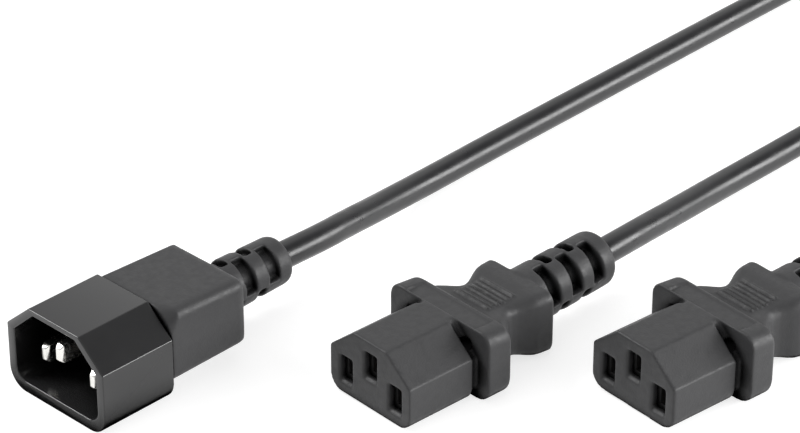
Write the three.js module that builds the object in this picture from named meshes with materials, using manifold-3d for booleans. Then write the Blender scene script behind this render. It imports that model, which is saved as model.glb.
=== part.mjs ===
// Power cord splitter: one three-pin inlet plug, a moulded Y junction and two
// appliance connectors, joined by round three-core mains cord.
// Millimetres, +Z up. Each connector is drawn with its mating face at Y = 0 and
// its cord leaving along +Y, then placed on the table by its own group.
import * as THREE from 'three';
import { mergeVertices } from 'three/addons/utils/BufferGeometryUtils.js';
import Module from 'manifold-3d';

const wasm = await Module();
wasm.setup();

// Clearances
const seat = 0.3;            // gap kept between pieces that touch
const through = 1;           // how far a cutting tool runs past what it cuts

// Contact pattern shared by plug and connectors
const pinSpacing = 14;       // line to neutral
const earthRise = 4;         // earth above the line and neutral row
const pinHeight = 4;
const pinThickness = 2;
const pinTip = 0.9;          // length of the chamfered tip

// Cord
const cordDiameter = 5.8;
const cordRadius = cordDiameter / 2;
const cordSides = 10;
const coreRadius = 1.1;
const coreLay = 1.35;        // radius on which the three cores lie in the sheath
const exitHeight = 8.6;       // cord axis where it leaves a connector

// Connector nose and body
const noseWidth = 22.8;
const noseHeight = 15.2;
const noseLength = 16.4;
const noseLift = 0.4;        // the nose clears the table, the flange rests on it
const noseCutWidth = 6.8;
const noseCutHeight = 5.6;
const noseBottomRadius = 3.2;
const rowAboveNose = 5.5;    // line and neutral row above the nose's underside
const slotWidth = 3.3;
const slotHeight = 5.6;
const slotLeadIn = 0.7;      // chamfer round each slot's mouth
const faceWall = 1.8;
const noseWall = 1.7;
const rootLength = 1.6;      // undercut where the nose's sides meet the flange
const rootDepth = 0.7;
const flangeWidth = 28.4;
const flangeLength = 6.4;
const flangeDrop = 0.5;      // fall of the flange's top towards the back
const waistWidth = 14.4;
const waistTop = 13.4;
const waistBottom = 1.6;
const waistRun = 6;          // flange's back to the narrowest section
const blockWidth = 19.2;
const blockTop = 14.4;
const blockBottom = 0.4;
const bodyLength = 40.6;     // mating face to the block's back
const ridgeCount = 6;
const ridgeLength = 9.4;
const ridgeWidth = 0.6;
const ridgeHeight = 0.35;
const ridgeFront = 2.2;      // flange's back to the first ridge
const ridgeBack = 7.3;       // last ridge to the block's back
const labelWidth = 19.6;
const labelDepth = 0.3;

// Plug shroud and grip
const sideFit = 0.4;         // play at each side of a nose in the shroud's cavity
const heightFit = 0.6;       // play under and over it
const shroudSideWall = 2.1;
const shroudFloorWall = 2.4;
const shroudTopWall = 1.2;
const shroudLength = 17.8;
const cavityDepth = 15.9;
const shroudCutWidth = 6.7;
const shroudCutHeight = 5.9;
const shroudBottomRadius = 4.4;
const pinRecess = 3;         // line and neutral tips behind the rim
const earthLead = 2.2;       // the earth pin reaches further forward
const gripInset = 0.5;       // the grip's sides lie inside the shroud's
const gripBottom = 3.9;
const gripFall = 0.9;        // fall of the grip's top towards the back
const gripLength = 37.8;     // mating face to the grip's back
const gripFrontRadius = 6.5; // the grip starts with the shroud's own big corners
const gripCornerRadius = 2.2;
const gripCutWidth = 7.9;    // the grip's left shoulder, like the shroud's cut corner
const gripCutHeight = 6.5;
const carrierWidth = 20;
const carrierHeight = 13;
const carrierBack = 24;

// Strain reliefs
const reliefCoreWall = 0.45;
const reliefRows = 5;
const reliefRowPitch = 3.23;
const reliefLip = 3.9;       // plain ring behind the last row of slots
const longSlotWidth = 2.9;
const shortSlotWidth = 2.3;
const reliefEndRound = 1;
const connectorRelief = { length: 21.6, radius: 6.1, endRadius: 5.95, turn: 3.5 };
const plugRelief = { length: 20.8, radius: 5.7, endRadius: 5.2, turn: 0 };

// Y junction
const junctionLength = 30;
const junctionTrunkWidth = 18;
const junctionBranchWidth = 29;
const junctionHeight = 13;
const branchSpacing = 16;
const collarReliefLength = 12;
const collarReliefRadius = 4.7;
const spliceRadius = 1.7;
const spliceStart = 10;
const spliceEnd = 19;
const splicePlaces = [-4.8, 0, 4.8];

// Places on the table: mating face centres, turned by a few degrees
const plugPlace = { x: -36.7, y: -151.4, turn: 3.6 };
const connectorPlaces = [
  { name: 'a', x: 3.5, y: -107, turn: 0 },
  { name: 'b', x: 36.94, y: -69.5, turn: -2.5 },
];
const junctionPlace = { x: 8, y: 110.26 };

// Trunk coil
const coilTurnRadius = 32;
const coilRows = 3;
const coilLayers = 2;
const coilPlace = { x: -27, y: 192 };

// Finishes
const softBlack = { color: 0x2b2b2c, roughness: 0.62, metalness: 0 };
const glossBlack = { color: 0x0c0c0d, roughness: 0.22, metalness: 0 };
const sheathBlack = { color: 0x1a1a1b, roughness: 0.35, metalness: 0 };
const carrierBlack = { color: 0x111112, roughness: 0.5, metalness: 0 };
const nickel = { color: 0xc9c9c6, roughness: 0.25, metalness: 1 };
const brass = { color: 0xb8954a, roughness: 0.35, metalness: 1 };
const coreFinish = {
  line: { color: 0x6b3a1e, roughness: 0.5, metalness: 0 },
  neutral: { color: 0x2a5fa8, roughness: 0.5, metalness: 0 },
  earth: { color: 0x6fa03a, roughness: 0.5, metalness: 0 },
};

// Contact places in a connector or plug, from the height of the lower row
function contactPlaces(row) {
  return [
    { name: 'line', x: -pinSpacing / 2, z: row },
    { name: 'neutral', x: pinSpacing / 2, z: row },
    { name: 'earth', x: 0, z: row + earthRise },
  ];
}

// Closed geometry to solid and back
function solidOf(geometry) {
  const bare = geometry.clone();
  bare.deleteAttribute('normal');
  bare.deleteAttribute('uv');
  const merged = mergeVertices(bare, 1e-4);
  return new wasm.Manifold(new wasm.Mesh({
    numProp: 3,
    vertProperties: new Float32Array(merged.attributes.position.array),
    triVerts: new Uint32Array(merged.index.array),
  }));
}

function geometryOf(solid) {
  const mesh = solid.getMesh();
  const geometry = new THREE.BufferGeometry();
  geometry.setAttribute('position', new THREE.BufferAttribute(mesh.vertProperties, 3));
  geometry.setIndex(new THREE.BufferAttribute(mesh.triVerts, 1));
  geometry.computeVertexNormals();
  return geometry;
}

function join(...geometries) {
  return geometryOf(geometries.map(solidOf).reduce((whole, part) => whole.add(part)));
}

function cut(body, ...tools) {
  return geometryOf(tools.map(solidOf).reduce((left, tool) => left.subtract(tool), solidOf(body)));
}

function common(first, second) {
  return geometryOf(solidOf(first).intersect(solidOf(second)));
}

// Box from its two opposite corners
function block(x0, x1, y0, y1, z0, z1) {
  const box = new THREE.BoxGeometry(x1 - x0, y1 - y0, z1 - z0);
  return box.translate((x0 + x1) / 2, (y0 + y1) / 2, (z0 + z1) / 2);
}

// Shape drawn in X and Z, extruded along Y
function extrudeAlongY(shape, from, to) {
  const options = { depth: to - from, bevelEnabled: false, curveSegments: 5 };
  return new THREE.ExtrudeGeometry(shape, options).rotateX(Math.PI / 2).translate(0, to, 0);
}

// Round rod along Y
function rod(radius, from, to, x, z, sides = 24) {
  const cylinder = new THREE.CylinderGeometry(radius, radius, to - from, sides);
  return cylinder.translate(x, (from + to) / 2, z);
}

// Profile with two cut upper corners and two round lower ones
function cutCornerProfile(width, bottom, top, cutWidth, cutHeight, radius) {
  const half = width / 2;
  const shape = new THREE.Shape();
  shape.moveTo(-half + radius, bottom);
  shape.lineTo(half - radius, bottom);
  shape.absarc(half - radius, bottom + radius, radius, -Math.PI / 2, 0);
  shape.lineTo(half, top - cutHeight);
  shape.lineTo(half - cutWidth, top);
  shape.lineTo(-half + cutWidth, top);
  shape.lineTo(-half, top - cutHeight);
  shape.lineTo(-half, bottom + radius);
  shape.absarc(-half + radius, bottom + radius, radius, Math.PI, Math.PI * 1.5);
  return shape;
}

// Rectangle with round corners, as a list of points with the same count for any size
function roundedRing({ width, bottom, top, radiusTop, radiusBottom }) {
  const half = width / 2;
  const path = new THREE.Path();
  path.absarc(half - radiusBottom, bottom + radiusBottom, radiusBottom, -Math.PI / 2, 0);
  path.absarc(half - radiusTop, top - radiusTop, radiusTop, 0, Math.PI / 2);
  path.absarc(-half + radiusTop, top - radiusTop, radiusTop, Math.PI / 2, Math.PI);
  path.absarc(-half + radiusBottom, bottom + radiusBottom, radiusBottom, Math.PI, Math.PI * 1.5);
  return path.getPoints(3);
}

// Skin over a row of sections, each with its own Y, closed by flat ends
function loft(sections) {
  const rings = sections.map(roundedRing);
  const count = rings[0].length;
  const positions = [];
  rings.forEach((ring, level) => {
    ring.forEach((point) => positions.push(point.x, sections[level].y, point.y));
  });
  const index = [];
  for (let level = 0; level < rings.length - 1; level += 1) {
    for (let i = 0; i < count; i += 1) {
      const here = level * count + i;
      const next = level * count + ((i + 1) % count);
      index.push(here, here + count, next + count, here, next + count, next);
    }
  }
  const last = (rings.length - 1) * count;
  THREE.ShapeUtils.triangulateShape(rings[0], []).forEach(([a, b, c]) => index.push(a, b, c));
  THREE.ShapeUtils.triangulateShape(rings[rings.length - 1], []).forEach(([a, b, c]) => {
    index.push(last + a, last + c, last + b);
  });
  const geometry = new THREE.BufferGeometry();
  geometry.setAttribute('position', new THREE.Float32BufferAttribute(positions, 3));
  geometry.setIndex(index);
  return geometry;
}

// Section between two others, with an even start and finish
function easedSection(from, to, share) {
  const ease = share * share * (3 - 2 * share);
  const section = { y: from.y + (to.y - from.y) * share };
  for (const key of ['width', 'bottom', 'top', 'radiusTop', 'radiusBottom']) {
    section[key] = from[key] + (to[key] - from[key]) * ease;
  }
  return section;
}

// Row of sections that eases from each key section to the next in a few steps
function easedSections(keys, steps) {
  const sections = [keys[0]];
  for (let k = 1; k < keys.length; k += 1) {
    for (let s = 1; s <= steps; s += 1) {
      sections.push(easedSection(keys[k - 1], keys[k], s / steps));
    }
  }
  return sections;
}

// Tube of constant section along a route
function tube(points, radius, steps, sides = cordSides) {
  const route = new THREE.CatmullRomCurve3(points.map((p) => new THREE.Vector3(...p)));
  const section = new THREE.Shape();
  for (let i = 0; i < sides; i += 1) {
    const angle = (i / sides) * Math.PI * 2;
    const x = radius * Math.cos(angle);
    const y = radius * Math.sin(angle);
    if (i === 0) section.moveTo(x, y);
    else section.lineTo(x, y);
  }
  return new THREE.ExtrudeGeometry(section, { steps, bevelEnabled: false, extrudePath: route });
}

function piece(name, geometry, finish) {
  const mesh = new THREE.Mesh(geometry, new THREE.MeshStandardMaterial(finish));
  mesh.name = name;
  return mesh;
}

// Turns a geometry about the vertical line where a relief starts
function turnedAt(geometry, from, turn) {
  return geometry.translate(0, -from, 0).rotateZ(THREE.MathUtils.degToRad(turn)).translate(0, from, 0);
}

// Point at some distance along a turned relief
function alongRelief(from, turn, distance) {
  const angle = THREE.MathUtils.degToRad(turn);
  return [-distance * Math.sin(angle), from + distance * Math.cos(angle), exitHeight];
}

// Pie-shaped cutter between two angles, counted in degrees from the top towards +X
function sector(reach, first, last, from, to, axis) {
  const shape = new THREE.Shape();
  shape.moveTo(0, axis);
  for (let i = 0; i <= 4; i += 1) {
    const angle = THREE.MathUtils.degToRad(first + ((last - first) * i) / 4);
    shape.lineTo(reach * Math.sin(angle), axis + reach * Math.cos(angle));
  }
  return extrudeAlongY(shape, from, to);
}

// Slotted strain relief: a sleeve whose rows of slots take opposite quarters in turn, so
// that each ring hangs on two webs, cut down to the wall that holds the cord
function slottedRelief({ length, radius, endRadius, turn }, from, axis) {
  const to = from + length;
  const profile = [
    new THREE.Vector2(0, from - through),
    new THREE.Vector2(radius, from - through),
    new THREE.Vector2(endRadius, to - reliefEndRound),
    new THREE.Vector2(endRadius - reliefEndRound * 0.3, to - reliefEndRound * 0.3),
    new THREE.Vector2(endRadius - reliefEndRound, to),
    new THREE.Vector2(0, to),
  ];
  const sleeve = new THREE.LatheGeometry(profile, 36).translate(0, 0, axis);
  const wall = cordRadius + seat + reliefCoreWall;
  const lastMiddle = to - reliefLip - longSlotWidth / 2;
  const tools = [];
  for (let row = 0; row < reliefRows; row += 1) {
    const middle = lastMiddle - reliefRowPitch * row;
    const long = row % 2 === 0;
    const half = (long ? longSlotWidth : shortSlotWidth) / 2;
    const first = long ? 4 : 104;
    const last = long ? 100 : 190;
    for (const side of [0, 180]) {
      tools.push(sector(radius * 1.2, first + side, last + side, middle - half, middle + half, axis));
    }
  }
  const relief = join(cut(sleeve, ...tools), rod(wall, from - through, to - reliefEndRound, 0, axis));
  return turnedAt(relief, from, turn);
}

// Hollow for the cord: straight through the body, then along the relief
function cordBore(sheathStart, from, { length, turn }) {
  const bore = cordRadius + seat;
  const inRelief = rod(bore, from - through, from + length + through, 0, exitHeight);
  return [rod(bore, sheathStart - 1, from + 0.4, 0, exitHeight), turnedAt(inRelief, from, turn)];
}

// End of the cord's sheath, held in the body and the relief
function sheathEnd(sheathStart, from, { length, turn }) {
  const route = [
    [0, sheathStart, exitHeight],
    [0, (sheathStart + from) / 2, exitHeight],
    [0, from, exitHeight],
    alongRelief(from, turn, length / 2),
    alongRelief(from, turn, length),
  ];
  return tube(route, cordRadius - 0.05, 6, 16);
}

// Insulated cores from the back of each contact to the end of the cord's sheath
function cores(prefix, row, contactBack, sheathStart) {
  const lay = { line: [-1, -0.5], neutral: [1, -0.5], earth: [0, 1] };
  return contactPlaces(row).map(({ name, x, z }) => {
    const [side, rise] = lay[name];
    const endX = side * coreLay;
    const endZ = exitHeight + rise * coreLay;
    const middle = (contactBack + sheathStart) / 2;
    const route = [
      [x, contactBack + seat, z],
      [x, contactBack + 1.1, z],
      [(x + endX) / 2, middle, (z + endZ) / 2],
      [endX, sheathStart - 1.1, endZ],
      [endX, sheathStart - seat, endZ],
    ];
    return piece(`${prefix}_${name}_core`, tube(route, coreRadius, 10, 8), coreFinish[name]);
  });
}

// Room for the cores: as wide as the crimps in front and as the sheath behind
function coreChamber(halfWidth, low, high, from, to, sheathStart) {
  const keys = [
    { y: from, width: halfWidth * 2, bottom: low, top: high },
    { y: to, width: halfWidth * 2, bottom: low, top: high },
    { y: sheathStart, width: 9.6, bottom: exitHeight - 3.6, top: exitHeight + 3.6 },
  ];
  const rounded = keys.map((key) => ({ ...key, radiusTop: 0.8, radiusBottom: 0.8 }));
  return loft(rounded);
}

// Sections of a connector's body behind its nose: flange, finger waist and rear block
function connectorSections() {
  const top = noseLift + noseHeight;
  const flangeFront = noseLength + rootLength;
  const flangeBack = flangeFront + flangeLength;
  const corners = { radiusTop: 3, radiusBottom: 3.6 };
  const flange = { width: flangeWidth, bottom: 0, top, ...corners };
  const rim = { ...flange, top: top - flangeDrop };
  const edge = { ...flange, width: flangeWidth - 0.9, bottom: 0.4, top: top - flangeDrop - 0.4 };
  const step = {
    width: flangeWidth - 6,
    bottom: 1.2,
    top: top - flangeDrop - 1.3,
    ...corners,
  };
  const waist = {
    width: waistWidth, bottom: waistBottom, top: waistTop, radiusTop: 2.4, radiusBottom: 2.4,
  };
  const hips = {
    width: blockWidth - 0.6, bottom: blockBottom, top: blockTop, radiusTop: 2.4, radiusBottom: 2.4,
  };
  const back = { ...hips, width: blockWidth, top: blockTop - 0.1 };
  const end = {
    width: blockWidth - 2.4,
    bottom: blockBottom + 1,
    top: blockTop - 1.1,
    radiusTop: 2.2,
    radiusBottom: 2.2,
  };
  const waistPlace = flangeBack + waistRun;
  return [
    { y: flangeFront, ...flange },
    { y: flangeBack - 0.9, ...rim },
    { y: flangeBack - 0.3, ...edge },
    ...easedSections([{ y: flangeBack + 0.2, ...step }, { y: waistPlace, ...waist }], 5),
    ...easedSections([{ y: waistPlace + 0.4, ...waist }, { y: bodyLength - 3.4, ...hips }], 5),
    { y: bodyLength - 1, ...back },
    { y: bodyLength, ...end },
  ];
}

// Height of the body's top at a place along it
function topAt(sections, y) {
  const after = sections.findIndex((section) => section.y >= y);
  const a = sections[after - 1];
  const b = sections[after];
  return a.top + ((b.top - a.top) * (y - a.y)) / (b.y - a.y);
}

// Cross ridges moulded on the waist for the fingers
function gripRidges(sections) {
  const ridges = [];
  const firstRidge = noseLength + rootLength + flangeLength + ridgeFront;
  const pitch = (bodyLength - ridgeBack - firstRidge) / (ridgeCount - 1);
  for (let i = 0; i < ridgeCount; i += 1) {
    const y = firstRidge + pitch * i;
    const top = topAt(sections, y);
    const half = ridgeLength / 2;
    ridges.push(block(-half, half, y, y + ridgeWidth, top - 0.8, top + ridgeHeight));
  }
  return ridges;
}

// Space inside the nose for the contact carrier
function carrierProfile(play) {
  const inset = noseWall - play;
  const bottom = noseLift + inset;
  const top = noseLift + noseHeight - inset;
  return cutCornerProfile(noseWidth - inset * 2, bottom, top,
    noseCutWidth - inset * 0.4, noseCutHeight - inset * 0.4, 1);
}

// Slot through the nose's face, with a lead-in chamfer round its mouth
function slotCutter(x, z) {
  const straight = block(x - slotWidth / 2, x + slotWidth / 2, -through, faceWall + through,
    z - slotHeight / 2, z + slotHeight / 2);
  const edges = { radiusTop: 0.1, radiusBottom: 0.1 };
  const deep = { width: slotWidth, bottom: z - slotHeight / 2, top: z + slotHeight / 2, ...edges };
  const wide = {
    ...deep,
    width: slotWidth + slotLeadIn,
    bottom: deep.bottom - slotLeadIn,
    top: deep.top + slotLeadIn / 2,
  };
  const mouth = loft([{ y: -through, ...wide }, { y: 0, ...wide }, { y: slotLeadIn, ...deep }]);
  return join(straight, mouth.translate(x, 0, 0));
}

// Soft moulding of a connector: nose, flange, waist, rear block and relief
function connectorMoulding(row) {
  const sections = connectorSections();
  const bottom = noseLift;
  const top = noseLift + noseHeight;
  const nose = cutCornerProfile(noseWidth, bottom, top, noseCutWidth, noseCutHeight, noseBottomRadius);
  const root = cutCornerProfile(noseWidth - rootDepth * 2, bottom + rootDepth, top,
    noseCutWidth, noseCutHeight + rootDepth, noseBottomRadius);
  const flangeFront = noseLength + rootLength;
  const outer = join(
    extrudeAlongY(nose, 0, noseLength),
    extrudeAlongY(root, noseLength - through, flangeFront + through),
    loft(sections),
    slottedRelief(connectorRelief, bodyLength, exitHeight),
    ...gripRidges(sections),
  );
  const labelStart = flangeFront + 0.3;
  const labelEnd = flangeFront + flangeLength - 1.2;
  const labelFloor = topAt(sections, labelEnd) - labelDepth;
  const label = block(-labelWidth / 2, labelWidth / 2, labelStart, labelEnd, labelFloor, top + through);
  const sheathStart = bodyLength - 5;
  const crimpBack = flangeFront + flangeLength - 1;
  const tools = [
    label,
    extrudeAlongY(carrierProfile(0), faceWall, crimpBack - 6),
    coreChamber(pinSpacing / 2 + 1.9, row - 3, row + earthRise + 2.6, crimpBack - 7, crimpBack, sheathStart),
    ...cordBore(sheathStart, bodyLength, connectorRelief),
    ...contactPlaces(row).map(({ x, z }) => slotCutter(x, z)),
  ];
  return cut(outer, ...tools);
}

// Hard carrier that holds the three contacts behind the nose's face
function contactCarrier(row) {
  const front = faceWall + seat;
  const back = noseLength + rootLength - 0.9;
  const body = extrudeAlongY(carrierProfile(-seat), front, back);
  const tools = [];
  for (const { x, z } of contactPlaces(row)) {
    const mouth = pinThickness / 2 + 0.25;
    const rise = pinHeight / 2 + 0.25;
    tools.push(block(x - mouth, x + mouth, front - through, front + 3, z - rise, z + rise));
    tools.push(block(x - 1.85, x + 1.85, front + 2, back + through, z - 2.75, z + 2.75));
  }
  return cut(body, ...tools);
}

// Folded brass contact: a sleeve open in front, with a crimp for its core behind
function socketContact(x, z, crimpBack) {
  const front = faceWall + seat + 2.4;
  const back = noseLength - 1.5;
  const outer = block(x - 1.5, x + 1.5, front, back, z - 2.4, z + 2.4);
  const inner = block(x - 1.05, x + 1.05, front - through, back - 1, z - 2.05, z + 2.05);
  const crimp = rod(1.5, back - 0.5, crimpBack, x, z, 12);
  return join(cut(outer, inner), crimp);
}

function connector(name, x, y, turn) {
  const row = noseLift + rowAboveNose;
  const group = new THREE.Group();
  const prefix = `connector_${name}`;
  const sheathStart = bodyLength - 4.6;
  const crimpBack = noseLength + rootLength + flangeLength - 1.8;
  group.add(piece(`${prefix}_moulding`, connectorMoulding(row), softBlack));
  group.add(piece(`${prefix}_contact_carrier`, contactCarrier(row), carrierBlack));
  for (const place of contactPlaces(row)) {
    const contact = socketContact(place.x, place.z, crimpBack);
    group.add(piece(`${prefix}_${place.name}_contact`, contact, brass));
  }
  group.add(...cores(prefix, row, crimpBack, sheathStart));
  const sheath = sheathEnd(sheathStart, bodyLength, connectorRelief);
  group.add(piece(`${prefix}_sheath_end`, sheath, sheathBlack));
  group.position.set(x, y, 0);
  group.rotation.z = THREE.MathUtils.degToRad(turn);
  return group;
}

// Outer and inner outline of the plug's shroud
const cavityWidth = noseWidth + sideFit * 2;
const cavityHeight = noseHeight + heightFit * 2;
const shroudWidth = cavityWidth + shroudSideWall * 2;
const shroudHeight = shroudFloorWall + cavityHeight + shroudTopWall;
const plugRow = shroudFloorWall + heightFit + rowAboveNose;

// Hard shroud of the plug, with the base that carries the pins in one moulding
function plugShroud() {
  const outer = cutCornerProfile(shroudWidth, 0, shroudHeight,
    shroudCutWidth, shroudCutHeight, shroudBottomRadius);
  const cavity = cutCornerProfile(cavityWidth, shroudFloorWall, shroudFloorWall + cavityHeight,
    shroudCutWidth - 0.9, shroudCutHeight - 0.6, shroudBottomRadius - 1.6);
  const carrierLow = (shroudHeight - carrierHeight) / 2;
  const carrier = block(-carrierWidth / 2, carrierWidth / 2, shroudLength - through, carrierBack,
    carrierLow, carrierLow + carrierHeight);
  const body = join(extrudeAlongY(outer, 0, shroudLength), carrier);
  const tools = [extrudeAlongY(cavity, -through, cavityDepth)];
  for (const { x, z } of contactPlaces(plugRow)) {
    const side = pinThickness / 2 + seat;
    const rise = pinHeight / 2 + seat;
    tools.push(block(x - side, x + side, cavityDepth - through, carrierBack + through, z - rise, z + rise));
  }
  return cut(body, ...tools);
}

// Flat pin with a chamfered tip in front and a crimp for its core behind
function pin(x, z, tip, crimpBack) {
  const halfZ = pinHeight / 2;
  const edges = { radiusTop: 0.25, radiusBottom: 0.25 };
  const bar = { width: pinThickness, bottom: z - halfZ, top: z + halfZ, ...edges };
  const nose = { width: pinThickness - 0.9, bottom: z - halfZ + 0.7, top: z + halfZ - 0.7, ...edges };
  const blade = loft([
    { y: tip, ...nose },
    { y: tip + pinTip, ...bar },
    { y: carrierBack + 1, ...bar },
  ]);
  return join(blade.translate(x, 0, 0), rod(1.5, carrierBack + 0.4, crimpBack, x, z, 12));
}

// Soft grip moulded over the plug's base, with its strain relief
function plugGrip() {
  const width = shroudWidth - gripInset * 2;
  const top = shroudHeight - gripInset;
  const corners = { radiusTop: gripCornerRadius, radiusBottom: 2 };
  const front = shroudLength + seat;
  const main = { width, bottom: gripBottom, top, ...corners };
  const rear = { ...main, width: width - 0.4, top: top - gripFall };
  const end = {
    ...rear,
    width: width - 2.2,
    bottom: gripBottom + 0.9,
    top: top - gripFall - 0.9,
  };
  const shell = loft([
    { y: front, ...main, radiusTop: gripFrontRadius },
    { y: front + 0.5, ...main, radiusTop: gripFrontRadius - 1 },
    { y: front + 2, ...main },
    { y: gripLength - 1.6, ...rear },
    { y: gripLength - 0.5, ...rear, width: width - 0.9, top: top - gripFall - 0.25 },
    { y: gripLength, ...end },
  ]);
  // The left shoulder follows the shroud's cut corner all the way back
  const shoulder = new THREE.Shape();
  const cutTop = top + gripInset;
  shoulder.moveTo(-shroudWidth / 2 + gripCutWidth, cutTop);
  shoulder.lineTo(-shroudWidth / 2 + gripCutWidth, cutTop + 4);
  shoulder.lineTo(-shroudWidth, cutTop + 4);
  shoulder.lineTo(-shroudWidth, cutTop - gripCutHeight);
  shoulder.lineTo(-shroudWidth / 2, cutTop - gripCutHeight);
  const fall = Math.atan(gripFall / (gripLength - front));
  const shoulderCut = extrudeAlongY(shoulder, -through * 3, gripLength)
    .translate(0, 0, -cutTop).rotateX(-fall).translate(0, front, cutTop);
  const outer = join(
    cut(shell, shoulderCut),
    slottedRelief(plugRelief, gripLength, exitHeight),
  );
  const carrierLow = (shroudHeight - carrierHeight) / 2;
  const sheathStart = gripLength - 1.4;
  const carrierRoom = block(-carrierWidth / 2 - seat, carrierWidth / 2 + seat, front - through,
    carrierBack + seat, carrierLow - seat, carrierLow + carrierHeight + seat);
  const crimpRoom = coreChamber(pinSpacing / 2 + 2, plugRow - 2.6, plugRow + earthRise + 2.6,
    carrierBack, carrierBack + 5.4, sheathStart);
  return cut(outer, carrierRoom, crimpRoom, ...cordBore(sheathStart, gripLength, plugRelief));
}

function plug() {
  const group = new THREE.Group();
  const sheathStart = gripLength - 1;
  const crimpBack = carrierBack + 3.6;
  group.add(piece('plug_shroud', plugShroud(), glossBlack));
  group.add(piece('plug_grip', plugGrip(), softBlack));
  for (const { name, x, z } of contactPlaces(plugRow)) {
    const tip = name === 'earth' ? pinRecess - earthLead : pinRecess;
    group.add(piece(`plug_${name}_pin`, pin(x, z, tip, crimpBack), nickel));
  }
  group.add(...cores('plug', plugRow, crimpBack, sheathStart));
  const sheath = sheathEnd(sheathStart, gripLength, plugRelief);
  group.add(piece('plug_sheath_end', sheath, sheathBlack));
  group.position.set(plugPlace.x, plugPlace.y, 0);
  group.rotation.z = THREE.MathUtils.degToRad(plugPlace.turn);
  return group;
}

// Short tapered sleeve around a cord where it enters the junction
function shortRelief(x, from, to, axis) {
  const root = new THREE.Vector2(collarReliefRadius + 0.5, Math.min(from, to));
  const reliefEnd = new THREE.Vector2(collarReliefRadius - 0.5, Math.max(from, to));
  const ends = from < to ? [root.x, reliefEnd.x] : [reliefEnd.x, root.x];
  const sleeve = new THREE.CylinderGeometry(ends[1], ends[0], Math.abs(to - from), 24);
  return sleeve.translate(x, (from + to) / 2, axis);
}

// Y junction: the trunk's three cores are crimped to those of both branches inside
function junctionMoulding(axis) {
  const corners = { radiusTop: 3, radiusBottom: 3 };
  const sections = easedSections([
    { y: 0, width: junctionBranchWidth, bottom: 0, top: junctionHeight, ...corners },
    { y: junctionLength, width: junctionTrunkWidth, bottom: 0, top: junctionHeight, ...corners },
  ], 4);
  const half = branchSpacing / 2;
  const back = junctionLength + collarReliefLength;
  const outer = join(
    loft(sections),
    shortRelief(-half, through, -collarReliefLength, axis),
    shortRelief(half, through, -collarReliefLength, axis),
    shortRelief(0, junctionLength - through, back, axis),
  );
  // Rooms for the cores in front of and behind the splices, inside the tapering walls
  const walls = loft(sections.map((s) => ({ ...s, width: s.width - 4 })));
  const roomSide = half + 2.6;
  const frontRoom = block(-roomSide, roomSide, 4, spliceStart - seat, axis - 4, axis + 4);
  const rearRoom = block(-roomSide, roomSide, spliceEnd + seat, junctionLength - 4, axis - 4, axis + 4);
  const bore = cordRadius + seat;
  const seats = splicePlaces.map((x) => (
    rod(spliceRadius + seat, spliceStart - through, spliceEnd + through, x, axis, 12)));
  return cut(outer, common(frontRoom, walls), common(rearRoom, walls), ...seats,
    rod(bore, -collarReliefLength - through, 5, -half, axis),
    rod(bore, -collarReliefLength - through, 5, half, axis),
    rod(bore, junctionLength - 5, back + through, 0, axis));
}

function junction() {
  const group = new THREE.Group();
  const axis = junctionHeight / 2;
  const half = branchSpacing / 2;
  const back = junctionLength + collarReliefLength;
  group.add(piece('junction_moulding', junctionMoulding(axis), softBlack));
  const trunkSheath = rod(cordRadius, junctionLength - 4, back, 0, axis, 20);
  group.add(piece('junction_trunk_sheath_end', trunkSheath, sheathBlack));
  [['a', -half], ['b', half]].forEach(([name, x]) => {
    const sheath = rod(cordRadius, -collarReliefLength, 4, x, axis, 20);
    group.add(piece(`junction_branch_${name}_sheath_end`, sheath, sheathBlack));
  });
  ['line', 'neutral', 'earth'].forEach((name, i) => {
    const splice = rod(spliceRadius, spliceStart, spliceEnd, splicePlaces[i], axis, 12);
    group.add(piece(`junction_${name}_splice`, splice, nickel));
  });
  group.position.set(junctionPlace.x, junctionPlace.y, 0);
  return group;
}

// Free cord: chosen route points, with the coil as one ring of its outer shape
const trunkLead = [
  [-40.4, -92.62, 8.6], [-41.1, -81, 8.4], [-43.2, -71.5, 7.4], [-45.8, -61.5, 5.6], [-48.2, -51, 4.1],
  [-50.2, -39, 3.2], [-51.6, -26, 3], [-53.1, -7, 3], [-54.7, 14, 3], [-56.3, 35, 3],
  [-57.9, 56, 3], [-59.5, 78, 3], [-61.1, 101, 3], [-62.7, 126, 3], [-64, 149, 3],
  [-64.7, 169.8, 3],
];
const trunkTail = [[8, 166.1, 8.2], [8, 163, 7.8], [8, 159.5, 7], [8, 156, 6.55], [8, 152.56, 6.5]];
const branchA = [
  [2.16, -44.54, 8.6], [1.3, -36.6, 8.3], [-0.5, -27, 7.2], [-3, -15.2, 5.5], [-5.4, -3.4, 4],
  [-7, 7.7, 3.2], [-7.9, 18.3, 3], [-8.6, 28.8, 3], [-9.3, 39.5, 3], [-9, 51.5, 3],
  [-7.2, 63.5, 3.8], [-4.4, 75.5, 5.3], [-1.3, 87, 6.4], [0, 97.96, 6.5],
];
const branchB = [
  [38.33, -7.04, 8.6], [38.6, 2.5, 8.2], [42.6, 11.5, 6.9], [48.2, 20.5, 4.7], [50.7, 31, 3.2],
  [47.6, 42, 3], [39, 50.5, 3], [29, 57.5, 3], [20.8, 66.5, 3.4], [16.8, 77, 4.9],
  [15.7, 88, 6.4], [16, 97.96, 6.5],
];

function coilRing() {
  const half = (coilRows * cordDiameter) / 2;
  const height = coilLayers * cordDiameter;
  const edge = 1.6;
  const inner = coilTurnRadius - half;
  const outer = coilTurnRadius + half;
  const profile = [
    [inner + edge, 0], [outer - edge, 0], [outer, edge], [outer, height - edge],
    [outer - edge, height], [inner + edge, height], [inner, height - edge], [inner, edge],
    [inner + edge, 0],
  ].map(([r, z]) => new THREE.Vector2(r, z));
  const ring = new THREE.LatheGeometry(profile, 40).rotateX(Math.PI / 2);
  return ring.translate(coilPlace.x, coilPlace.y, 0);
}

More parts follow.
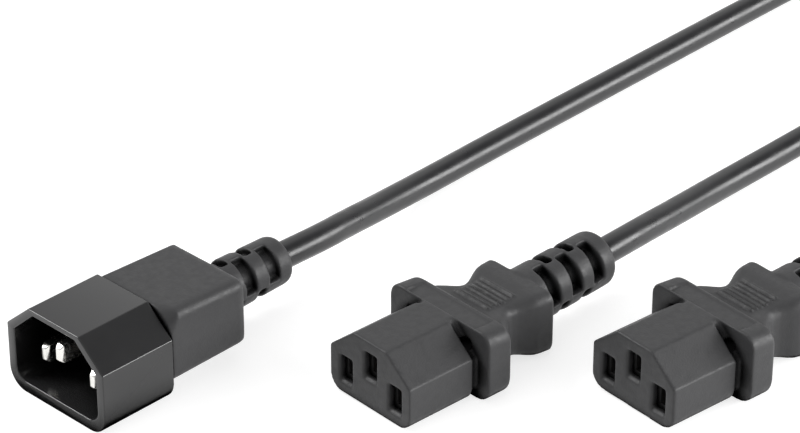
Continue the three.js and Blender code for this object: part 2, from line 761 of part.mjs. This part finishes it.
function cords() {
  const group = new THREE.Group();
  group.add(piece('trunk_cord_lead', tube(trunkLead, cordRadius, 22), sheathBlack));
  group.add(piece('trunk_cord_coil', coilRing(), sheathBlack));
  group.add(piece('trunk_cord_tail', tube(trunkTail, cordRadius, 4), sheathBlack));
  group.add(piece('branch_a_cord', tube(branchA, cordRadius, 14), sheathBlack));
  group.add(piece('branch_b_cord', tube(branchB, cordRadius, 16), sheathBlack));
  return group;
}

const splitter = new THREE.Group();
splitter.add(plug());
for (const { name, x, y, turn } of connectorPlaces) {
  splitter.add(connector(name, x, y, turn));
}
splitter.add(junction(), cords());

export default splitter;
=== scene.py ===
import math

import bmesh
import bpy
from mathutils import Matrix, Vector


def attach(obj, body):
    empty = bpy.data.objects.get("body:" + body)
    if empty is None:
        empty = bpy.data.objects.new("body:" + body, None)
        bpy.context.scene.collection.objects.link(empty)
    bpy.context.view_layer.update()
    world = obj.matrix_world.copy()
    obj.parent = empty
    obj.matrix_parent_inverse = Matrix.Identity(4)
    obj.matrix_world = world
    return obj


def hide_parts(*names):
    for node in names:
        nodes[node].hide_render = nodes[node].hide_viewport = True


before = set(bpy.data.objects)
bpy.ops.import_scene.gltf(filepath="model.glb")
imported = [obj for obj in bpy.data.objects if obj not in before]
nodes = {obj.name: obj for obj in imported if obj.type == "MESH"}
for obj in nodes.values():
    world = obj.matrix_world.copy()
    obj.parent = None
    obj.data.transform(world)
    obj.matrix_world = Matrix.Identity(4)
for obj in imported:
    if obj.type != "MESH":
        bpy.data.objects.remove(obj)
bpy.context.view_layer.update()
MM = 0.001


# Camera: a long lens at the photograph's angle, from the front right and above, which
# takes in the plug, both connectors and the first stretch of their cords.
camera_data = bpy.data.cameras.new("camera")
camera_data.lens = 153
camera_data.sensor_width = 36
camera_data.clip_end = 20
camera = bpy.data.objects.new("camera", camera_data)
camera.location = (0.40897, -0.46659, 0.36583)
view_line = Vector((-0.63685, 0.57706, -0.51129))
camera.rotation_euler = view_line.to_track_quat("-Z", "Y").to_euler()
bpy.context.collection.objects.link(camera)
bpy.context.scene.camera = camera
bpy.context.scene.view_settings.view_transform = "Standard"


# Cords: round black PVC sheath over three twisted cores, extruded in one length. It
# leaves each strain relief straight, sags to the table and runs along it; the trunk's
# unseen length is wound in two layers beside the junction.
def new_material(name, colour, roughness, metallic=0.0):
    material = bpy.data.materials.new(name)
    material.use_nodes = True
    tree = material.node_tree
    shader = tree.nodes["Principled BSDF"]
    shader.inputs["Base Color"].default_value = (*colour, 1)
    shader.inputs["Roughness"].default_value = roughness
    shader.inputs["Metallic"].default_value = metallic
    return material, tree, shader


def noise(tree, scale, detail=2.0):
    """Even mottling in the piece's own coordinates, with this many waves to the metre."""
    place = tree.nodes.new("ShaderNodeTexCoord")
    texture = tree.nodes.new("ShaderNodeTexNoise")
    texture.inputs["Scale"].default_value = scale
    texture.inputs["Detail"].default_value = detail
    tree.links.new(place.outputs["Object"], texture.inputs["Vector"])
    return texture.outputs["Fac"]


def spread(tree, value, low, high):
    """Stretches the noise's usual range to these two levels."""
    mapped = tree.nodes.new("ShaderNodeMapRange")
    mapped.inputs["From Min"].default_value = 0.3
    mapped.inputs["From Max"].default_value = 0.7
    mapped.inputs["To Min"].default_value = low
    mapped.inputs["To Max"].default_value = high
    tree.links.new(value, mapped.inputs["Value"])
    return mapped.outputs["Result"]


def add_bump(tree, shader, height, distance, strength=1.0):
    bump = tree.nodes.new("ShaderNodeBump")
    bump.inputs["Strength"].default_value = strength
    bump.inputs["Distance"].default_value = distance
    tree.links.new(height, bump.inputs["Height"])
    tree.links.new(bump.outputs["Normal"], shader.inputs["Normal"])


SHEATH_BLACK = (0.012, 0.012, 0.013)
sheath_material, tree, shader = new_material("sheath", SHEATH_BLACK, 0.26)
tree.links.new(spread(tree, noise(tree, 300), 0.27, 0.38), shader.inputs["Roughness"])
add_bump(tree, shader, noise(tree, 160, 1.0), 0.06 * MM)


def curve_piece(name, points, radius, material):
    """A round cord as one smooth curve, with its points and radius in millimetres."""
    data = bpy.data.curves.new(name, "CURVE")
    data.dimensions = "3D"
    data.bevel_depth = radius * MM
    data.bevel_resolution = 6
    data.resolution_u = 6
    data.use_fill_caps = True
    spline = data.splines.new("BEZIER")
    spline.bezier_points.add(len(points) - 1)
    for knot, point in zip(spline.bezier_points, points):
        knot.co = Vector(point) * MM
        knot.handle_left_type = "AUTO"
        knot.handle_right_type = "AUTO"
    data.materials.append(material)
    piece = bpy.data.objects.new(name, data)
    bpy.context.collection.objects.link(piece)
    return piece


CORD_RADIUS = 2.9
COIL_CENTRE = (-27, 192)
COIL_TURNS = 4.5
COIL_POINTS_A_TURN = 14
COIL_START_RADIUS = 37.8
# The cord climbs to the upper layer between these turns.
CLIMB_START, CLIMB_END = 2.2, 2.85
CLIMB_RADIUS, CLIMB_DIP = 25.04, 1.2
UPPER_RADIUS, UPPER_PITCH = 25.2, 5.9
LAYER_RISE = 5.85


def ease(share):
    """Runs smoothly from 0 to 1."""
    share = min(1.0, max(0.0, share))
    return share * share * (3 - 2 * share)


def coil_points():
    """Clockwise from the left: inwards on the table, up, then outwards on top."""
    points = []
    for step in range(1, int(COIL_TURNS * COIL_POINTS_A_TURN)):
        turn = step / COIL_POINTS_A_TURN
        share = (turn - CLIMB_START) / (CLIMB_END - CLIMB_START)
        if turn < CLIMB_START:
            radius = COIL_START_RADIUS - 2 * CORD_RADIUS * turn
        elif turn < CLIMB_END:
            radius = CLIMB_RADIUS - CLIMB_DIP * math.sin(math.pi * share)
        else:
            radius = UPPER_RADIUS + UPPER_PITCH * (turn - CLIMB_END)
        height = CORD_RADIUS + LAYER_RISE * ease(share)
        angle = math.pi - 2 * math.pi * turn
        points.append((COIL_CENTRE[0] + radius * math.cos(angle),
                       COIL_CENTRE[1] + radius * math.sin(angle), height))
    return points


trunk_points = [
    (-39.0, -114.6, 8.6), (-39.7, -103.6, 8.6), (-40.4, -92.6, 8.6), (-41.1, -81, 8.3),
    (-43.2, -71.5, 7.1), (-45.8, -61.5, 5.4), (-48.2, -51, 4.0), (-50.2, -39, 3.1),
    (-51.6, -26, 2.9), (-53.1, -7, 2.9), (-54.7, 14, 2.9), (-56.3, 35, 2.9),
    (-57.9, 56, 2.9), (-59.5, 78, 2.9), (-61.1, 101, 2.9), (-62.7, 126, 2.9),
    (-64.0, 149, 2.9), (-64.7, 172, 2.9),
]
trunk_points += coil_points()
trunk_points += [(8, 192, 8.75), (8, 183, 8.75), (8, 174, 8.7), (8, 165, 7.9), (8, 157, 6.8),
                 (8, 150, 6.5), (8, 143, 6.5), (8, 137, 6.5)]
trunk = curve_piece("trunk_cord", trunk_points, CORD_RADIUS, sheath_material)
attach(trunk, "root")
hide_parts("trunk_cord_lead", "trunk_cord_coil", "trunk_cord_tail",
            "plug_sheath_end", "junction_trunk_sheath_end")

branch_a_points = [
    (3.5, -71, 8.6), (3.5, -66.4, 8.6), (2.85, -55.6, 8.6), (2.16, -44.5, 8.6),
    (1.3, -36.6, 8.3), (-0.5, -27, 7.2), (-3, -15.2, 5.5), (-5.4, -3.4, 4), (-7, 7.7, 3.15),
    (-7.9, 18.3, 2.9), (-8.6, 28.8, 2.9), (-9.3, 39.5, 2.9), (-9, 51.5, 2.9),
    (-7.2, 63.5, 3.7), (-4.4, 75.5, 5.3), (-1.3, 87, 6.4), (0, 98, 6.5), (0, 106, 6.5),
    (0, 113.5, 6.5),
]
branch_a = curve_piece("branch_a", branch_a_points, CORD_RADIUS, sheath_material)
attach(branch_a, "root")
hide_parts("branch_a_cord", "connector_a_sheath_end", "junction_branch_a_sheath_end")

branch_b_points = [
    (38.5, -33.6, 8.6), (38.71, -28.9, 8.6), (38.52, -18, 8.6), (38.33, -7.04, 8.6),
    (38.6, 2.5, 8.2), (42.6, 11.5, 6.9), (48.2, 20.5, 4.7), (50.7, 31, 3.1),
    (47.6, 42, 2.9), (39, 50.5, 2.9), (29, 57.5, 2.9), (20.8, 66.5, 3.4),
    (16.8, 77, 4.9), (15.7, 88, 6.4), (16, 98, 6.5), (16, 106, 6.5), (16, 113.5, 6.5),
]
branch_b = curve_piece("branch_b", branch_b_points, CORD_RADIUS, sheath_material)
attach(branch_b, "root")
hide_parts("branch_b_cord", "connector_b_sheath_end", "junction_branch_b_sheath_end")


# Soft mouldings: matt black PVC shot over the ends, with a finely pebbled skin and every
# edge rounded by the mould. Each one takes its form from its solid, with softened edges.
# Painted shade: the near-black that a material's colour is mixed towards in hollows.
PAINTED_SHADE_BLACK = (0.002, 0.002, 0.002, 1)
SHADE_SAMPLES = 8
FULL_SHADE_BELOW, NO_SHADE_ABOVE = 0.5, 0.85


def paint_crevice_shade(tree, shader, reach, colour):
    """Painted shade: the colour and specular level darken towards black in hollows whose walls are
    nearer than this reach.
    """
    opening = tree.nodes.new("ShaderNodeAmbientOcclusion")
    opening.inputs["Distance"].default_value = reach * MM
    opening.samples = SHADE_SAMPLES
    clear = tree.nodes.new("ShaderNodeMapRange")
    clear.inputs["From Min"].default_value = FULL_SHADE_BELOW
    clear.inputs["From Max"].default_value = NO_SHADE_ABOVE
    tree.links.new(opening.outputs["AO"], clear.inputs["Value"])
    shaded_colour = tree.nodes.new("ShaderNodeMix")
    shaded_colour.data_type = "RGBA"
    shaded_colour.inputs["A"].default_value = PAINTED_SHADE_BLACK
    shaded_colour.inputs["B"].default_value = (*colour, 1)
    tree.links.new(clear.outputs["Result"], shaded_colour.inputs["Factor"])
    tree.links.new(shaded_colour.outputs["Result"], shader.inputs["Base Color"])
    shaded_sheen = tree.nodes.new("ShaderNodeMath")
    shaded_sheen.operation = "MULTIPLY"
    shaded_sheen.inputs[1].default_value = shader.inputs["Specular IOR Level"].default_value
    tree.links.new(clear.outputs["Result"], shaded_sheen.inputs[0])
    tree.links.new(shaded_sheen.outputs[0], shader.inputs["Specular IOR Level"])


PVC = (0.034, 0.034, 0.0352)
RELIEF_SHADE_REACH = 3.2
pvc_material, tree, shader = new_material("pvc", PVC, 0.5)
shader.inputs["Specular IOR Level"].default_value = 0.32
tree.links.new(spread(tree, noise(tree, 700, 3.0), 0.42, 0.58), shader.inputs["Roughness"])
add_bump(tree, shader, noise(tree, 2600, 2.0), 0.05 * MM, 0.6)
# Painted shade darkens the colour and specular level in the strain reliefs' slots and other
# hollows.
paint_crevice_shade(tree, shader, RELIEF_SHADE_REACH, PVC)


WELD_DISTANCE = 0.01


def softened(node_name, name, voxel, rounds, shape=None):
    """A closed, even mesh of the solid, with its edges relaxed by some rounds of smoothing."""
    work = bmesh.new()
    work.from_mesh(nodes[node_name].data)
    bmesh.ops.remove_doubles(work, verts=work.verts, dist=WELD_DISTANCE * MM)
    mesh = bpy.data.meshes.new(name)
    work.to_mesh(mesh)
    work.free()
    piece = bpy.data.objects.new(name, mesh)
    bpy.context.collection.objects.link(piece)
    remesh = piece.modifiers.new("remesh", "REMESH")
    remesh.mode = "VOXEL"
    remesh.voxel_size = voxel * MM
    shaped = bpy.data.meshes.new_from_object(
        piece.evaluated_get(bpy.context.evaluated_depsgraph_get()))
    piece.modifiers.clear()
    work = bmesh.new()
    work.from_mesh(shaped)
    for _ in range(rounds):
        bmesh.ops.smooth_vert(work, verts=work.verts, factor=0.5,
                              use_axis_x=True, use_axis_y=True, use_axis_z=True)
    work.normal_update()
    if shape:
        shape(work)
    for face in work.faces:
        face.smooth = True
    work.to_mesh(mesh)
    work.free()
    bpy.data.meshes.remove(shaped)
    return piece


def finished(piece, material, slot, *replaced):
    """Gives a new piece its material, and says which solids it stands for; the slot is not used.
    """
    piece.data.materials.clear()
    piece.data.materials.append(material)
    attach(piece, "root")
    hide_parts(*replaced)
    return piece


# Finger ridges on top of a connector's waist, starting this far behind the mating face.
RIDGE_START, RIDGE_PITCH, RIDGE_COUNT = 26.6, 1.34, 6
RIDGE_HALF, RIDGE_WIDTH, RIDGE_CREST = 4.7, 0.6, 0.3
RIDGE_END_RUN = 0.4
RIDGE_FLOOR = 12


def ridges_at(place):
    """Raises the cross ridges that the fingers hold on the connector's waist."""
    back = place.inverted()

    def shape(work):
        for vert in work.verts:
            local = back @ vert.co / MM
            if vert.normal.z < 0.5 or abs(local.x) > RIDGE_HALF + RIDGE_END_RUN:
                continue
            if local.z < RIDGE_FLOOR:
                continue
            along = (local.y - RIDGE_START - RIDGE_WIDTH / 2) / RIDGE_PITCH
            if along < -0.5 or along > RIDGE_COUNT - 0.5:
                continue
            crest = 0.5 + 0.5 * math.cos(2 * math.pi * along)
            side = ease((RIDGE_HALF + RIDGE_END_RUN - abs(local.x)) / (2 * RIDGE_END_RUN))
            vert.co.z += RIDGE_CREST * MM * side * crest ** 2
    return shape


def placed(x, y, turn):
    """A connector's place on the table, from its mating face's centre and its turn."""
    return Matrix.Translation((x * MM, y * MM, 0)) @ Matrix.Rotation(math.radians(turn), 4, "Z")


FINE_VOXEL, FINE_ROUNDS = 0.28, 3
COARSE_VOXEL, COARSE_ROUNDS = 0.4, 6
for letter, place in (("a", placed(3.5, -107, 0)), ("b", placed(36.94, -69.5, -2.5))):
    moulding = softened(f"connector_{letter}_moulding", f"connector_{letter}_body",
                        FINE_VOXEL, FINE_ROUNDS, ridges_at(place))
    finished(moulding, pvc_material, "moulding", f"connector_{letter}_moulding")

grip = softened("plug_grip", "plug_grip_body", FINE_VOXEL, FINE_ROUNDS)
finished(grip, pvc_material, "moulding", "plug_grip")

junction = softened("junction_moulding", "junction_body", COARSE_VOXEL, COARSE_ROUNDS)
finished(junction, pvc_material, "moulding", "junction_moulding")


# Plug shroud: one hard glossy moulding, a thin-walled tunnel round the pins with the
# base behind them. Its edges are crisp, with a small moulded radius.
GLOSS = (0.02, 0.02, 0.0205)
CAVITY_SHADE_REACH = 12
gloss_material, tree, shader = new_material("gloss_black", GLOSS, 0.12)
tree.links.new(spread(tree, noise(tree, 220), 0.12, 0.22), shader.inputs["Roughness"])
add_bump(tree, shader, noise(tree, 90, 1.0), 0.02 * MM)
# Painted shade darkens the colour and specular level deep in the shroud's tunnel round the pins.
paint_crevice_shade(tree, shader, CAVITY_SHADE_REACH, GLOSS)


def crisp(node_name, name, width, segments):
    """The solid's flat faces joined up again, with a small round bevel on every edge."""
    work = bmesh.new()
    work.from_mesh(nodes[node_name].data)
    bmesh.ops.remove_doubles(work, verts=work.verts, dist=WELD_DISTANCE * MM)
    bmesh.ops.dissolve_limit(work, angle_limit=math.radians(2), verts=work.verts, edges=work.edges)
    mesh = bpy.data.meshes.new(name)
    work.to_mesh(mesh)
    work.free()
    for polygon in mesh.polygons:
        polygon.use_smooth = True
    piece = bpy.data.objects.new(name, mesh)
    bpy.context.collection.objects.link(piece)
    bevel = piece.modifiers.new("bevel", "BEVEL")
    bevel.width = width * MM
    bevel.segments = segments
    bevel.limit_method = "ANGLE"
    bevel.angle_limit = math.radians(30)
    bevel.harden_normals = True
    return piece


SHROUD_EDGE = 0.5
shroud = crisp("plug_shroud", "plug_shroud_body", SHROUD_EDGE, segments=4)
finished(shroud, gloss_material, "shroud", "plug_shroud")


# Pins: flat blades of nickel-plated brass with chamfered tips, pressed through the base.
# They stand inside the shroud's tunnel, line and neutral side by side and earth above.
NICKEL = (0.74, 0.73, 0.7)
PIN_EDGE = 0.15
nickel_material, tree, shader = new_material("nickel", NICKEL, 0.22, 1.0)
tree.links.new(spread(tree, noise(tree, 900), 0.16, 0.3), shader.inputs["Roughness"])
add_bump(tree, shader, noise(tree, 1500), 0.01 * MM)
for conductor in ("line", "neutral", "earth"):
    blade = crisp(f"plug_{conductor}_pin", f"plug_{conductor}_blade", PIN_EDGE, segments=2)
    finished(blade, nickel_material, "pin", f"plug_{conductor}_pin")


# Contact carriers and contacts: a hard black insert behind each connector's face, holding
# three folded brass contacts that only show as a glint through the slots.
CARRIER_BLACK = (0.02, 0.02, 0.02)
SPRING_BRASS = (0.72, 0.52, 0.22)
carrier_material, tree, shader = new_material("carrier", CARRIER_BLACK, 0.5)
tree.links.new(spread(tree, noise(tree, 500), 0.4, 0.6), shader.inputs["Roughness"])
add_bump(tree, shader, noise(tree, 1200), 0.02 * MM)
brass_material, tree, shader = new_material("brass", SPRING_BRASS, 0.3, 1.0)
tree.links.new(spread(tree, noise(tree, 700), 0.22, 0.4), shader.inputs["Roughness"])
add_bump(tree, shader, noise(tree, 1200), 0.01 * MM)


def paint(node_name, material):
    """The material and slot of a solid that is shown just as it is modelled."""
    piece = nodes[node_name]
    piece.data.materials.clear()
    piece.data.materials.append(material)


for letter in ("a", "b"):
    paint(f"connector_{letter}_contact_carrier", carrier_material)
    for conductor in ("line", "neutral", "earth"):
        paint(f"connector_{letter}_{conductor}_contact", brass_material)


# Cores and splices: brown, blue and green PVC insulation on the three conductors, and the
# tinned crimp sleeves that join them. The mouldings close them all in.
CORE_COLOURS = {"line": (0.16, 0.06, 0.025), "neutral": (0.03, 0.12, 0.42),
                "earth": (0.16, 0.42, 0.06)}
TIN = (0.6, 0.6, 0.58)
tin_material, tree, shader = new_material("tin", TIN, 0.35, 1.0)
tree.links.new(spread(tree, noise(tree, 900), 0.28, 0.45), shader.inputs["Roughness"])
add_bump(tree, shader, noise(tree, 1500), 0.01 * MM)
for conductor, colour in CORE_COLOURS.items():
    core_material, tree, shader = new_material(f"{conductor}_core", colour, 0.45)
    tree.links.new(spread(tree, noise(tree, 600), 0.38, 0.55), shader.inputs["Roughness"])
    add_bump(tree, shader, noise(tree, 900), 0.02 * MM)
    for end in ("plug", "connector_a", "connector_b"):
        paint(f"{end}_{conductor}_core", core_material)
    paint(f"junction_{conductor}_splice", tin_material)


# Studio: a white table under a pale sky that is brighter above and to the left, and dimmed
# in one patch at the right behind. A low softbox at the right behind gives the cords their
# stripe, and a smaller one in front lights the sides that face left.
FLOOR_HALF = 3
FLOOR_COLOUR = (0.5, 0.5, 0.5)
floor_mesh = bpy.data.meshes.new("floor")
work = bmesh.new()
bmesh.ops.create_grid(work, x_segments=1, y_segments=1, size=FLOOR_HALF)
work.to_mesh(floor_mesh)
work.free()
floor = bpy.data.objects.new("floor", floor_mesh)
bpy.context.collection.objects.link(floor)
floor_material, tree, shader = new_material("floor", FLOOR_COLOUR, 0.9)
floor_mesh.materials.append(floor_material)

# To the eye and in reflections the table is lifted to white, and it keeps its soft shadows.
FLOOR_LIFT = 0.72
path = tree.nodes.new("ShaderNodeLightPath")
mirrored = tree.nodes.new("ShaderNodeMath")
mirrored.operation = "MAXIMUM"
tree.links.new(path.outputs["Is Glossy Ray"], mirrored.inputs[0])
tree.links.new(path.outputs["Is Transmission Ray"], mirrored.inputs[1])
seen = tree.nodes.new("ShaderNodeMath")
seen.operation = "MAXIMUM"
tree.links.new(path.outputs["Is Camera Ray"], seen.inputs[0])
tree.links.new(mirrored.outputs[0], seen.inputs[1])
lift = tree.nodes.new("ShaderNodeMath")
lift.operation = "MULTIPLY"
lift.inputs[1].default_value = FLOOR_LIFT
tree.links.new(seen.outputs[0], lift.inputs[0])
shader.inputs["Emission Color"].default_value = (1, 1, 1, 1)
tree.links.new(lift.outputs[0], shader.inputs["Emission Strength"])

SKY_SIDE = Vector((-0.5, 0.15, 0.85)).normalized()
SKY_DARK, SKY_BRIGHT = 0.25, 1.0
SKY_FROM, SKY_TO = -0.3, 0.9
DARK_SIDE = Vector((0.4, 0.58, 0.7)).normalized()
DARK_SHARE = 0.15
DARK_FROM, DARK_TO = 0.7, 0.95
world = bpy.data.worlds.new("world")
world.use_nodes = True
tree = world.node_tree
background = tree.nodes["Background"]
background.inputs["Color"].default_value = (1, 1, 1, 1)
place = tree.nodes.new("ShaderNodeTexCoord")
towards = tree.nodes.new("ShaderNodeVectorMath")
towards.operation = "DOT_PRODUCT"
towards.inputs[1].default_value = SKY_SIDE
tree.links.new(place.outputs["Generated"], towards.inputs[0])
level = tree.nodes.new("ShaderNodeMapRange")
level.inputs["From Min"].default_value = SKY_FROM
level.inputs["From Max"].default_value = SKY_TO
level.inputs["To Min"].default_value = SKY_DARK
level.inputs["To Max"].default_value = SKY_BRIGHT
tree.links.new(towards.outputs["Value"], level.inputs["Value"])
away = tree.nodes.new("ShaderNodeVectorMath")
away.operation = "DOT_PRODUCT"
away.inputs[1].default_value = DARK_SIDE
tree.links.new(place.outputs["Generated"], away.inputs[0])
shade = tree.nodes.new("ShaderNodeMapRange")
shade.inputs["From Min"].default_value = DARK_FROM
shade.inputs["From Max"].default_value = DARK_TO
shade.inputs["To Min"].default_value = 1.0
shade.inputs["To Max"].default_value = DARK_SHARE
tree.links.new(away.outputs["Value"], shade.inputs["Value"])
shaded = tree.nodes.new("ShaderNodeMath")
shaded.operation = "MULTIPLY"
tree.links.new(level.outputs["Result"], shaded.inputs[0])
tree.links.new(shade.outputs["Result"], shaded.inputs[1])
tree.links.new(shaded.outputs[0], background.inputs["Strength"])
bpy.context.scene.world = world


LIT_PLACE = Vector((0, -0.05, 0))


def softbox(name, direction, distance, width, height, power):
    """A rectangular lamp in that direction from the lit place, turned towards it."""
    data = bpy.data.lights.new(name, "AREA")
    data.shape = "RECTANGLE"
    data.size = width
    data.size_y = height
    data.energy = power
    lamp = bpy.data.objects.new(name, data)
    aim = Vector(direction).normalized()
    lamp.location = LIT_PLACE + aim * distance
    lamp.rotation_euler = (-aim).to_track_quat("-Z", "Y").to_euler()
    bpy.context.collection.objects.link(lamp)


softbox("right_softbox", direction=(0.8, 0.56, 0.3), distance=1.2,
        width=1.6, height=0.45, power=26)
softbox("front_softbox", direction=(-0.64, -0.49, 0.56), distance=1.4,
        width=0.55, height=0.45, power=12)
